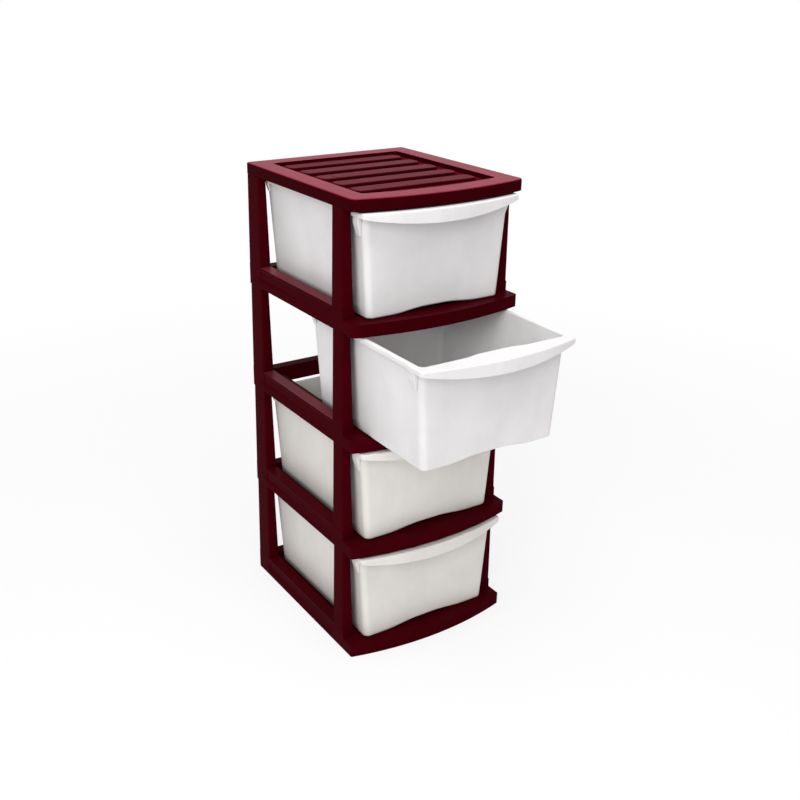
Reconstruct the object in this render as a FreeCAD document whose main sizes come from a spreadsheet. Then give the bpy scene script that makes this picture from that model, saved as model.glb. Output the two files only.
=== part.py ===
import FreeCAD, Part
import os
import re
import Sketcher

# Drawer tower of four pull-out tubs in a knock-down frame: a slatted top cover, three open
# shelf frames and a base frame, held apart by sixteen hollow posts that plug into them.
# Millimetres. X runs to the right, -Y to the front, Z up. The origin is the middle of the
# footprint between the frames' rear edge and the corners of their front lip, on the floor.

SIZES = [
    # Whole tower
    ("tower_width", 330, "outer width of every frame"),
    ("frame_depth", 360, "rear edge of a frame to the corners of its front lip"),
    ("lip_bow", 22, "how far the middle of a front lip stands ahead of its corners"),
    ("level_pitch", 200, "height of one level, frame underside to frame underside"),
    # Shelf and base frames
    ("rail_height", 38, "side rails and corner blocks"),
    ("rail_width", 21.5, "outer to inner face of a side rail and of the foot of a post"),
    ("front_bar_height", 21.5, "front lip and runners, which carry the drawer"),
    ("rear_bar_height", 31, "rear cross bar"),
    ("rear_bar_depth", 20, "rear cross bar, front to back"),
    ("runner_width", 25, "ledge inside each side rail"),
    ("frame_wall", 2.4, "moulded wall of the frames"),
    ("rib_thickness", 2, "stiffening ribs under the front bar"),
    ("rib_pitch", 48, "ribs under the front bar"),
    ("rear_corner_radius", 6, "rear corners of every frame, seen from above"),
    ("lip_corner_radius", 11, "ends of the front lips, seen from above"),
    ("frame_edge", 1.2, "bevel on the top edges of rails and lips"),
    ("band_depth", 1, "sunk band along the outside of a side rail"),
    ("bead_height", 8, "plain bead below that band"),
    ("band_top_margin", 5, "plain strip above that band"),
    ("lip_reach", 29, "front lip corners ahead of the posts"),
    # Posts
    ("front_post_depth", 35, "foot of a front post, front to back"),
    ("rear_post_depth", 45, "foot of a rear post, front to back"),
    ("post_draft", 2.3, "outer, front and rear side of a post lean in by this much on their way up"),
    ("post_inner_draft", 5, "inner side of a post leans away from the drawer by this much"),
    ("post_wall", 2.2, "moulded wall of a post"),
    ("post_edge", 2.2, "bevel on the upright edges of a post"),
    ("plug_length", 14, "plug on top of a post"),
    ("plug_shoulder", 2.2, "step from a post's head to its plug"),
    ("plug_bevel", 1, "lead-in on the plug"),
    ("socket_gap", 0.3, "clearance round a plug and round a stub"),
    ("stub_height", 12, "stub on a frame that a post's hollow foot slips over"),
    # Top cover
    ("cover_height", 20, "top cover"),
    ("cover_edge", 1.8, "bevel on the upper edge of the cover"),
    ("border_width", 35, "flat border at the sides and the rear of the sunk field"),
    ("front_border_width", 38.5, "flat border in the middle of the front"),
    ("field_depth", 9, "sunk field below the border"),
    ("field_bow", 13.5, "front edge of the field, middle ahead of its ends"),
    ("field_corner_radius", 7, "corners of the field"),
    ("slat_count", 5, "raised slats in the field"),
    ("slat_rise", 5.5, "slats above the floor of the field"),
    ("slat_gap", 22.3, "groove between two slats"),
    ("slat_rear_gap", 11, "groove behind the first slat"),
    ("slat_front_gap", 30, "last slat to the front corners of the field"),
    ("slat_side_gap", 19, "corners of a slat to the sides of the field"),
    ("slat_end_bulge", 6.5, "roundness of a slat's ends"),
    ("cover_plate", 2.6, "floor of the sunk field"),
    # Drawers
    ("rim_side_gap", 2, "rim of a drawer clear of the heads of the posts, at each side"),
    ("tub_side_lean", 11.5, "each side of a drawer leans out by this much on its way up"),
    ("tub_foot_reach", 19, "foot of the drawer front ahead of the posts"),
    ("tub_front_lean", 6, "the front leans forward by this much on its way up"),
    ("tub_rear_clearance", 15, "foot of the drawer's rear wall ahead of the rear bar"),
    ("tub_rear_lean", 6.5, "the rear wall leans back by this much on its way up"),
    ("tub_wall", 2.2, "moulded walls and floor of a drawer"),
    ("tub_corner_radius", 11, "upright corners of a drawer"),
    ("tub_foot_bevel", 4.2, "edge where a drawer's walls turn into its floor"),
    ("seat_gap", 0.3, "a drawer above its runners"),
    ("head_gap", 2.5, "the next frame above a drawer's rim"),
    ("rim_overhang", 5, "rim beyond the body at the sides and the rear"),
    ("rim_thickness", 2.4, "flat top of the rim"),
    ("skirt_height", 9, "turned-down edge of the rim, with the flat"),
    ("skirt_wall", 1.8, "turned-down edge of the rim and the pull"),
    ("rim_edge", 1, "bevel on the upper edge of the rim"),
    ("wing_width", 3.5, "rim ends in front of the posts, beyond the side rims"),
    ("wing_gap", 1, "those ends in front of the posts when closed"),
    ("pull_corner_reach", 14, "corners of the pull ahead of the drawer front"),
    ("pull_bow", 21, "middle of the pull ahead of its corners"),
    ("pull_height", 23.5, "apron of the pull at its deepest"),
    ("pull_corner_radius", 7, "corners of the pull, seen from above"),
    ("thumb_share", 0.42, "part of the pull that has a thumb rest"),
    ("thumb_reach", 5, "thumb rest over the drawer's inside"),
    ("arch_rise", 6, "middle of the drawer's floor above its two feet"),
    ("arch_foot_share", 0.68, "part of the drawer's foot between its two feet"),
    ("arch_top_share", 0.36, "part of the drawer's foot that is raised flat"),
    ("stop_height", 41, "stops under the ends of the pull, which close against the posts"),
    ("stop_length", 16, "stops, front to back"),
    ("stop_reach", 6, "stops beyond the drawer's body"),
    ("tab_height", 24, "guide tabs under the rear corners of the rim"),
    ("tab_length", 10, "guide tabs, front to back"),
    ("tab_reach", 4.5, "guide tabs beyond the drawer's body"),
    ("tab_inset", 8, "guide tabs ahead of the body's rear"),
    ("second_drawer_pull", 160, "how far the second drawer stands open at rest"),
]

SHELF_COUNT = 3
LEVELS = SHELF_COUNT + 1

doc = FreeCAD.newDocument("drawer_tower")
sheet = doc.addObject("Spreadsheet::Sheet", "sizes")
for row, (alias, value, note) in enumerate(SIZES, start=1):
    sheet.set("A%d" % row, alias)
    sheet.set("B%d" % row, str(value))
    sheet.set("C%d" % row, note)
    sheet.setAlias("B%d" % row, alias)
doc.recompute()
ALIASES = {alias for alias, value, note in SIZES}

# Lengths that several pieces share, written as formulas on the sheet's sizes.
HALF_WIDTH = "(tower_width / 2)"
REAR = "(frame_depth / 2)"
LIP = "(-frame_depth / 2)"
POST_FRONT = "(lip_reach - frame_depth / 2)"
POST_BACK = "(lip_reach - frame_depth / 2 + front_post_depth)"
REAR_POST_FRONT = "(frame_depth / 2 - rear_post_depth)"
RAIL_INNER = "(tower_width / 2 - rail_width)"
RUNNER_INNER = "(tower_width / 2 - rail_width - runner_width)"
REAR_BAR_FRONT = "(frame_depth / 2 - rear_bar_depth)"
POST_HEIGHT = "(level_pitch - rail_height)"
RIM_HALF = "(tower_width / 2 - rail_width + post_inner_draft - rim_side_gap)"
WING_HALF = "(%s + wing_width)" % RIM_HALF
TUB_TOP_HALF = "(%s - rim_overhang)" % RIM_HALF
TUB_FOOT_HALF = "(%s - tub_side_lean)" % TUB_TOP_HALF
TUB_HEIGHT = "(level_pitch - front_bar_height - seat_gap - head_gap)"
FOOT_FRONT = "(lip_reach - frame_depth / 2 - tub_foot_reach)"
FOOT_REAR = "(frame_depth / 2 - rear_bar_depth - tub_rear_clearance)"
TOP_FRONT = "(%s - tub_front_lean)" % FOOT_FRONT
TOP_REAR = "(%s + tub_rear_lean)" % FOOT_REAR
PULL_CORNER = "(%s - pull_corner_reach)" % TOP_FRONT
# Sagitta of a quarter circle as a share of its radius.
QUARTER_SAGITTA_SHARE = 0.2928932188


def formula(text):
    """The text as an expression on the sheet."""
    return re.sub(r"[a-z][a-z0-9_]*", lambda m: "sizes." + m[0] if m[0] in ALIASES else m[0], text)


def value(text):
    """The number that a formula gives now."""
    return float(sheet.evalExpression(re.sub(r"sizes\.", "", formula(text))))


def minus(text):
    return "(-(%s))" % text


def plane(body, role):
    return next(item for item in body.Origin.OriginFeatures if item.Role == role)


def new_body(label, x="0", y="0", z="0"):
    body = doc.addObject("PartDesign::Body", label)
    body.Label = label
    body.setExpression(".Placement.Base.x", formula(x))
    body.setExpression(".Placement.Base.y", formula(y))
    body.setExpression(".Placement.Base.z", formula(z))
    return body


def pin_point(sketch, geometry, end, x, y):
    """Ties one end of a line or arc to its place from the sketch's origin."""
    for kind, text in (("DistanceX", x), ("DistanceY", y)):
        now = value(text)
        if now >= 0:
            index = sketch.addConstraint(Sketcher.Constraint(kind, -1, 1, geometry, end, now))
            sketch.setExpression("Constraints[%d]" % index, formula(text))
        else:
            index = sketch.addConstraint(Sketcher.Constraint(kind, geometry, end, -1, 1, -now))
            sketch.setExpression("Constraints[%d]" % index, formula(minus(text)))


def draw_loop(sketch, corners, bulges=None):
    """A closed outline through the corners. An edge with a bulge is an arc, whose middle
    stands to the right of the way from its corner to the next one by that much."""
    bulges = bulges or {}
    count = len(corners)
    points = [FreeCAD.Vector(value(x), value(y), 0) for x, y in corners]
    edges = []
    for i in range(count):
        here, there = points[i], points[(i + 1) % count]
        if i in bulges:
            way = there.sub(here)
            side = FreeCAD.Vector(way.y, -way.x, 0).normalize()
            bulge = value(bulges[i])
            middle = here.add(there).multiply(0.5).add(side.multiply(bulge))
            # An arc always runs against the clock, so a hollow one is drawn backwards.
            if bulge > 0:
                edges.append((sketch.addGeometry(Part.Arc(here, middle, there), False), 1, 2))
            else:
                edges.append((sketch.addGeometry(Part.Arc(there, middle, here), False), 2, 1))
        else:
            index = sketch.addGeometry(Part.LineSegment(here, there), False)
            edges.append((index, 1, 2))
    for i in range(count):
        before, this = edges[i - 1], edges[i]
        sketch.addConstraint(Sketcher.Constraint("Coincident", before[0], before[2], this[0], this[1]))
        pin_point(sketch, this[0], this[1], *corners[i])
    for i, text in bulges.items():
        (x1, y1), (x2, y2) = corners[i], corners[(i + 1) % count]
        chord_squared = "((%s - %s)^2 + (%s - %s)^2)" % (x1, x2, y1, y2)
        depth = "abs(%s)" % text
        radius = "(%s / (8 * %s) + %s / 2)" % (chord_squared, depth, depth)
        index = sketch.addConstraint(Sketcher.Constraint("Radius", edges[i][0], value(radius)))
        sketch.setExpression("Constraints[%d]" % index, formula(radius))


def new_sketch(body, name, loops, role="XY_Plane", offset="0"):
    """A sketch on one of the body's planes, moved along the plane's normal."""
    sketch = body.newObject("Sketcher::SketchObject", name)
    sketch.AttachmentSupport = [(plane(body, role), "")]
    sketch.MapMode = "FlatFace"
    sketch.setExpression(".AttachmentOffset.Base.z", formula(offset))
    for loop in loops:
        draw_loop(sketch, *loop)
    return sketch


def rectangle(x1, x2, y1, y2):
    return ([(x1, y1), (x2, y1), (x2, y2), (x1, y2)],)


def both_sides(x1, x2, y1, y2):
    """A rectangle on the right and its mirror image on the left."""
    return [rectangle(x1, x2, y1, y2), rectangle(minus(x2), minus(x1), y1, y2)]


def rounded_rectangle(x1, x2, y1, y2, radius):
    """Corners from the front left one, against the clock, each turned by a quarter circle."""
    corners = [("%s + %s" % (x1, radius), y1), ("%s - %s" % (x2, radius), y1),
               (x2, "%s + %s" % (y1, radius)), (x2, "%s - %s" % (y2, radius)),
               ("%s - %s" % (x2, radius), y2), ("%s + %s" % (x1, radius), y2),
               (x1, "%s - %s" % (y2, radius)), (x1, "%s + %s" % (y1, radius))]
    sagitta = "(%s * %s)" % (radius, QUARTER_SAGITTA_SHARE)
    return (corners, {1: sagitta, 3: sagitta, 5: sagitta, 7: sagitta})


def pad(body, name, sketch, length, down=False):
    feature = body.newObject("PartDesign::Pad", name)
    feature.Profile = sketch
    feature.Type = "Length"
    feature.Reversed = down
    feature.setExpression("Length", formula(length))
    return feature


def pocket(body, name, sketch, length=None, against_normal=True):
    feature = body.newObject("PartDesign::Pocket", name)
    feature.Profile = sketch
    feature.Reversed = not against_normal
    if length is None:
        feature.Type = "ThroughAll"
    else:
        feature.Type = "Length"
        feature.setExpression("Length", formula(length))
    return feature


def wedge(body, name, low, high, x, y, cut=False):
    """An upright block whose four walls each lean their own way. For the foot and for the
    head, x and y each give the two sides of the block."""
    kind = "PartDesign::SubtractiveWedge" if cut else "PartDesign::AdditiveWedge"
    feature = body.newObject(kind, name)
    feature.AttachmentSupport = [(plane(body, "XZ_Plane"), "")]
    feature.MapMode = "FlatFace"
    # It lies on its back: its own Y runs up and its Z runs to the front.
    (foot_left, foot_right), (head_left, head_right) = x
    (foot_front, foot_rear), (head_front, head_rear) = y
    sizes = {"Ymin": low, "Ymax": high, "Xmin": foot_left, "Xmax": foot_right,
             "X2min": head_left, "X2max": head_right, "Zmin": minus(foot_rear), "Zmax": minus(foot_front),
             "Z2min": minus(head_rear), "Z2max": minus(head_front)}
    for key, text in sizes.items():
        feature.setExpression(key, formula(text))
    return feature


def dress_edges(body, name, kind, wanted):
    """A fillet or bevel on the edges of the body's last feature that a test picks."""
    doc.recompute()
    base = body.Tip
    names = ["Edge%d" % i for i, edge in enumerate(base.Shape.Edges, start=1) if wanted(edge)]
    if not names:
        raise RuntimeError("%s of %s finds no edge" % (name, body.Label))
    feature = body.newObject(kind, name)
    feature.Base = (base, names)
    return feature


def round_edges(body, name, wanted, radius):
    dress_edges(body, name, "PartDesign::Fillet", wanted).setExpression("Radius", formula(radius))


def bevel_edges(body, name, wanted, size):
    dress_edges(body, name, "PartDesign::Chamfer", wanted).setExpression("Size", formula(size))


def near(a, b):
    return abs(a - b) < 0.01


def upright(edge):
    box = edge.BoundBox
    return near(box.XLength, 0) and near(box.YLength, 0)


def level(edge, height):
    return near(edge.BoundBox.ZMin, height) and near(edge.BoundBox.ZMax, height)


def bowed_outline(inset="0"):
    """Outline of a frame seen from above, with its front lip bowed forward."""
    side = "(%s - %s)" % (HALF_WIDTH, inset)
    front = "(%s + %s)" % (LIP, inset)
    rear = "(%s - %s)" % (REAR, inset)
    return ([(minus(side), front), (side, front), (side, rear), (minus(side), rear)], {0: "lip_bow"})


def corner_loops(inner, outer, ends):
    """Four rectangles in the frame's corners. Each is drawn in from the inner and the outer
    face of the post's foot, and from its two ends."""
    near_side, far_side = "(%s + %s)" % (RAIL_INNER, inner), "(%s - %s)" % (HALF_WIDTH, outer)
    loops = []
    for front, back in ((POST_FRONT, POST_BACK), (REAR_POST_FRONT, REAR)):
        loops += both_sides(near_side, far_side, "(%s + %s)" % (front, ends), "(%s - %s)" % (back, ends))
    return loops


def socket_loops():
    """The four holes that the plugs of the posts below go into."""
    step = "(post_draft + plug_shoulder - socket_gap)"
    return corner_loops("(post_inner_draft + plug_shoulder - socket_gap)", step, step)


def stub_loops():
    """The four stubs that the hollow feet of the posts above slip over."""
    step = "(post_wall + socket_gap)"
    return corner_loops(step, step, step)


def block_loops():
    """The four corner blocks under the top cover, inside its wall."""
    side, rear = "(%s - frame_wall)" % HALF_WIDTH, "(%s - frame_wall)" % REAR
    return (both_sides(RAIL_INNER, side, POST_FRONT, POST_BACK)
            + both_sides(RAIL_INNER, side, REAR_POST_FRONT, rear))


def make_frame(label, height):
    """An open frame: bowed front bar, side rails with runners, rear bar and corner blocks,
    moulded hollow from below."""
    body = new_body(label, z=height)
    outline = new_sketch(body, label + "_outline", [bowed_outline()])
    pad(body, label + "_bar_layer", outline, "front_bar_height")
    rails = new_sketch(body, label + "_rails", both_sides(RAIL_INNER, HALF_WIDTH, POST_FRONT, REAR))
    pad(body, label + "_side_rails", rails, "rail_height")
    rear = new_sketch(body, label + "_rear", [rectangle(minus(RAIL_INNER), RAIL_INNER, REAR_BAR_FRONT, REAR)])
    pad(body, label + "_rear_bar", rear, "rear_bar_height")
    middle = new_sketch(body, label + "_middle",
                        [rectangle(minus(RUNNER_INNER), RUNNER_INNER, POST_BACK, REAR_BAR_FRONT)])
    pocket(body, label + "_opening", middle, against_normal=False)

    half, back, lip = value(HALF_WIDTH), value(REAR), value(LIP)
    round_edges(body, label + "_rear_corners", lambda e: upright(e) and near(abs(e.BoundBox.XMin), half)
                and near(e.BoundBox.YMin, back), "rear_corner_radius")
    round_edges(body, label + "_lip_corners", lambda e: upright(e) and near(abs(e.BoundBox.XMin), half)
                and near(e.BoundBox.YMin, lip), "lip_corner_radius")

    bar_top, rail_top = value("front_bar_height"), value("rail_height")

    post_front = value(POST_FRONT)

    def lip_top(edge):
        return level(edge, bar_top) and edge.BoundBox.YMin < post_front - bar_top / 2

    def rail_top_outer(edge):
        box = edge.BoundBox
        outer = near(abs(box.XMin), half) and near(abs(box.XMax), half)
        return level(edge, rail_top) and outer

    bevel_edges(body, label + "_lip_edge", lip_top, "frame_edge")
    bevel_edges(body, label + "_rail_edge", rail_top_outer, "frame_edge")

    band = new_sketch(body, label + "_band_outline",
                      both_sides("(%s - band_depth)" % HALF_WIDTH, "(%s + band_depth)" % HALF_WIDTH,
                                 POST_BACK, REAR_POST_FRONT), offset="bead_height")
    pocket(body, label + "_band", band, "rail_height - bead_height - band_top_margin", against_normal=False)

    wall = "frame_wall"
    rail_hollow = new_sketch(body, label + "_rail_hollow", both_sides(
        "(%s + %s)" % (RAIL_INNER, wall), "(%s - band_depth - %s)" % (HALF_WIDTH, wall),
        POST_BACK, REAR_POST_FRONT))
    pocket(body, label + "_rail_channels", rail_hollow, "rail_height - frame_wall", against_normal=False)
    runner_hollow = new_sketch(body, label + "_runner_hollow",
                               both_sides("(%s + %s)" % (RUNNER_INNER, wall), RAIL_INNER,
                                          POST_BACK, REAR_BAR_FRONT))
    pocket(body, label + "_runner_channels", runner_hollow, "front_bar_height - frame_wall",
           against_normal=False)
    rear_hollow = new_sketch(body, label + "_rear_hollow",
                             [rectangle(minus(RAIL_INNER), RAIL_INNER, "(%s + %s)" % (REAR_BAR_FRONT, wall),
                                        "(%s - %s)" % (REAR, wall))])
    pocket(body, label + "_rear_channel", rear_hollow, "rear_bar_height - frame_wall", against_normal=False)

    side = "(%s - %s)" % (HALF_WIDTH, wall)
    front = "(%s + %s)" % (LIP, wall)
    back_wall = "(%s - %s)" % (POST_BACK, wall)
    bar_hollow = new_sketch(body, label + "_bar_hollow", [(
        [(minus(side), front), (side, front), (side, POST_FRONT), (RAIL_INNER, POST_FRONT),
         (RAIL_INNER, back_wall), (minus(RAIL_INNER), back_wall), (minus(RAIL_INNER), POST_FRONT),
         (minus(side), POST_FRONT)], {0: "lip_bow"})])
    pocket(body, label + "_bar_channel", bar_hollow, "front_bar_height - frame_wall", against_normal=False)
    doc.recompute()
    rib_front = "(%s - lip_bow + frame_wall)" % LIP
    rib = new_sketch(body, label + "_rib_outline",
                     [rectangle("(%s * rib_pitch - rib_thickness / 2)" % place,
                                "(%s * rib_pitch + rib_thickness / 2)" % place,
                                rib_front, POST_BACK) for place in (-2, -1, 0, 1, 2)])
    pad(body, label + "_ribs", rib, "front_bar_height - frame_wall")
    ahead = "(%s - 2 * lip_bow)" % LIP
    trim = new_sketch(body, label + "_trim_outline",
                      [([(minus(HALF_WIDTH), ahead), (HALF_WIDTH, ahead), (HALF_WIDTH, LIP),
                         (minus(HALF_WIDTH), LIP)], {2: minus("lip_bow")})])
    pocket(body, label + "_rib_trim", trim, against_normal=False)

    stubs = new_sketch(body, label + "_stub_outline", stub_loops(), offset="rail_height")
    pad(body, label + "_stubs", stubs, "stub_height")
    sockets = new_sketch(body, label + "_socket_outline", socket_loops())
    pocket(body, label + "_sockets", sockets, "rail_height + stub_height - frame_wall", against_normal=False)
    return body


def make_cover(label, height):
    """The top cover: a hollow slab with a bowed front, a sunk field and raised slats."""
    body = new_body(label, z=height)
    outline = new_sketch(body, label + "_outline", [bowed_outline()])
    pad(body, label + "_slab", outline, "cover_height")
    half, back, lip = value(HALF_WIDTH), value(REAR), value(LIP)
    round_edges(body, label + "_rear_corners", lambda e: upright(e) and near(e.BoundBox.YMin, back),
                "rear_corner_radius")
    round_edges(body, label + "_lip_corners", lambda e: upright(e) and near(e.BoundBox.YMin, lip),
                "lip_corner_radius")
    bevel_edges(body, label + "_upper_edge", lambda e: level(e, value("cover_height")), "cover_edge")

    side = "(%s - border_width)" % HALF_WIDTH
    field_rear = "(%s - border_width)" % REAR
    field_front = "(%s - lip_bow + front_border_width + field_bow)" % LIP
    field = new_sketch(body, label + "_field_outline",
                       [([(minus(side), field_front), (side, field_front), (side, field_rear),
                          (minus(side), field_rear)], {0: "field_bow"})], offset="cover_height")
    pocket(body, label + "_field", field, "field_depth")
    field_half = value(side)
    round_edges(body, label + "_field_corners",
                lambda e: upright(e) and near(abs(e.BoundBox.XMin), field_half), "field_corner_radius")

    # The slats share what the grooves leave of the field's depth.
    grooves = "(slat_rear_gap + slat_front_gap + (slat_count - 1) * slat_gap)"
    slat_depth = "((%s - %s - %s) / slat_count)" % (field_rear, field_front, grooves)
    slat_half = "(%s - slat_side_gap)" % side
    first_rear = "(%s - slat_rear_gap)" % field_rear
    slats = new_sketch(body, label + "_slat_outline",
                       [([(minus(slat_half), "(%s - %s)" % (first_rear, slat_depth)),
                          (slat_half, "(%s - %s)" % (first_rear, slat_depth)),
                          (slat_half, first_rear), (minus(slat_half), first_rear)],
                         {1: "slat_end_bulge", 3: "slat_end_bulge"})],
                       offset="cover_height - field_depth")
    slat = pad(body, label + "_slat", slats, "slat_rise")
    doc.recompute()
    rows = body.newObject("PartDesign::LinearPattern", label + "_slats")
    rows.Originals = [slat]
    rows.Direction = (slats, ["V_Axis"])
    rows.Reversed = True
    rows.Mode = "Spacing"
    rows.setExpression("Offset", formula("%s + slat_gap" % slat_depth))
    rows.setExpression("Occurrences", formula("slat_count"))
    body.Tip = rows

    under = new_sketch(body, label + "_under_outline", [bowed_outline("frame_wall")])
    pocket(body, label + "_under", under, "cover_height - field_depth - cover_plate", against_normal=False)
    wall_side = "(%s + frame_wall)" % side
    wall_front = "(%s - frame_wall)" % field_front
    wall_rear = "(%s + frame_wall)" % field_rear
    border = new_sketch(body, label + "_border_outline",
                        [bowed_outline("frame_wall"),
                         ([(minus(wall_side), wall_front), (wall_side, wall_front), (wall_side, wall_rear),
                           (minus(wall_side), wall_rear)], {0: "field_bow"})])
    pocket(body, label + "_border_hollow", border, "cover_height - frame_wall", against_normal=False)

    blocks = new_sketch(body, label + "_block_outline", block_loops())
    pad(body, label + "_blocks", blocks, "cover_height - frame_wall")
    sockets = new_sketch(body, label + "_socket_outline", socket_loops())
    pocket(body, label + "_sockets", sockets, "plug_length + socket_gap", against_normal=False)
    return body


def make_post(label, side, x, y, z, depth):
    """A hollow post with draft on every side, open at its foot, with a plug on its head.
    Its own origin is the outer front corner of its foot, and side is 1 on the right."""
    body = new_body(label, x, y, z)

    def across(inner, outer):
        inner, outer = "(%s - rail_width)" % inner, minus(outer)
        return (inner, outer) if side > 0 else (minus(outer), minus(inner))

    def along(inset):
        return inset, "(%s - %s)" % (depth, inset)

    def post_wedge(name, top, wall, cut=False):
        wedge(body, name, "0", top,
              (across(wall, wall), across("(post_inner_draft + %s)" % wall, "(post_draft + %s)" % wall)),
              (along(wall), along("(post_draft + %s)" % wall)), cut)

    post_wedge(label + "_shaft", POST_HEIGHT, "0")
    long_edge = value(POST_HEIGHT) * 0.9
    bevel_edges(body, label + "_edges", lambda e: e.BoundBox.ZLength > long_edge, "post_edge")
    post_wedge(label + "_hollow", "%s - post_wall" % POST_HEIGHT, "post_wall", cut=True)
    plug = rectangle(*across("(post_inner_draft + plug_shoulder)", "(post_draft + plug_shoulder)"),
                     *along("(post_draft + plug_shoulder)"))
    plug_outline = new_sketch(body, label + "_plug_outline", [plug], offset=POST_HEIGHT)
    pad(body, label + "_plug", plug_outline, "plug_length")
    top = value("%s + plug_length" % POST_HEIGHT)
    bevel_edges(body, label + "_lead_in", lambda e: level(e, top), "plug_bevel")
    return body


def tub_outline(inset):
    """Outline of the drawer's body at its rim."""
    half = "(%s - %s)" % (TUB_TOP_HALF, inset)
    front, rear = "(%s + %s)" % (TOP_FRONT, inset), "(%s - %s)" % (TOP_REAR, inset)
    return rounded_rectangle(minus(half), half, front, rear, "(tub_corner_radius - %s)" % inset)


def arch_outline(rise, low, spread):
    """Outline across the drawer of its raised middle: a flat with an S-curve down each side."""
    foot = "(%s * arch_foot_share + %s)" % (TUB_FOOT_HALF, spread)
    top = "(%s * arch_top_share + %s)" % (TUB_FOOT_HALF, spread)
    turn = "((%s + %s) / 2)" % (foot, top)
    half_rise = "(%s + arch_rise / 2)" % rise
    full_rise = "(%s + arch_rise)" % rise
    # Each half of the S is an arc that leaves the flat without a kink.
    run = "(%s * (arch_foot_share - arch_top_share) / 2)" % TUB_FOOT_HALF
    chord_squared = "(%s^2 + (arch_rise / 2)^2)" % run
    radius = "(%s / arch_rise)" % chord_squared
    sagitta = "(%s - sqrt(%s^2 - %s / 4))" % (radius, radius, chord_squared)
    corners = [(minus(foot), low), (foot, low), (foot, rise), (turn, half_rise), (top, full_rise),
               (minus(top), full_rise), (minus(turn), half_rise), (minus(foot), rise)]
    return corners, {2: minus(sagitta), 3: sagitta, 5: sagitta, 6: minus(sagitta)}


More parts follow.
